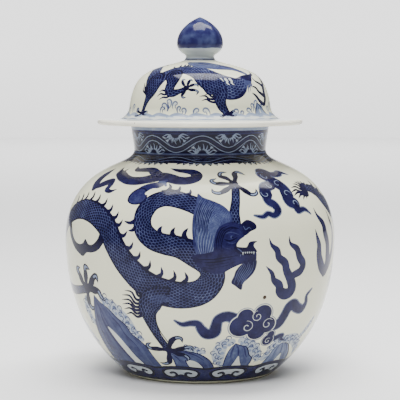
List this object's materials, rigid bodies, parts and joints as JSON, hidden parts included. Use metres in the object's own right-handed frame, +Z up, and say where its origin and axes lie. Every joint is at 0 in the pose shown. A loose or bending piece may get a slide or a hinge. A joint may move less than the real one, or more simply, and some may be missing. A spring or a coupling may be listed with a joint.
{
  "type": "ginger jar",
  "caption": "Bulbous lidded porcelain jar with a short neck, a flanged domed lid and a bud-shaped knob, glazed white and painted in cobalt blue.",
  "frame": {"origin": "centre of the foot ring, on the surface that the jar stands on", "axes": "+Z up along the jar's axis, -Y towards the painted dragon's head"},
  "size_m": [0.2862, 0.2862, 0.3768],
  "materials": {
    "jar_lower_glaze": "glossy clear glaze over white porcelain, painted in cobalt blue",
    "jar_upper_glaze": "glossy clear glaze over white porcelain, painted in cobalt blue",
    "neck_glaze": "glossy clear glaze over a dense cobalt scroll band",
    "lid_glaze": "glossy clear glaze over white porcelain, painted in cobalt blue",
    "bare_porcelain": "matt unglazed biscuit where the lid sits in the neck",
    "knob_glaze": "glossy clear glaze over solid cobalt wash"
  },
  "bodies": {
    "jar": {"jar_lower_body": "jar_lower_glaze", "jar_upper_body": "jar_upper_glaze", "jar_neck": "neck_glaze"},
    "lid": {"lid_dome": "lid_glaze", "lid_locating_collar": "bare_porcelain", "lid_finial": "knob_glaze"}
  },
  "joints": [
    {"name": "lid_lift", "type": "slide", "parent": "jar", "child": "lid", "axis": [0, 0, 1], "range_m": [0, 0.12]}
  ]
}
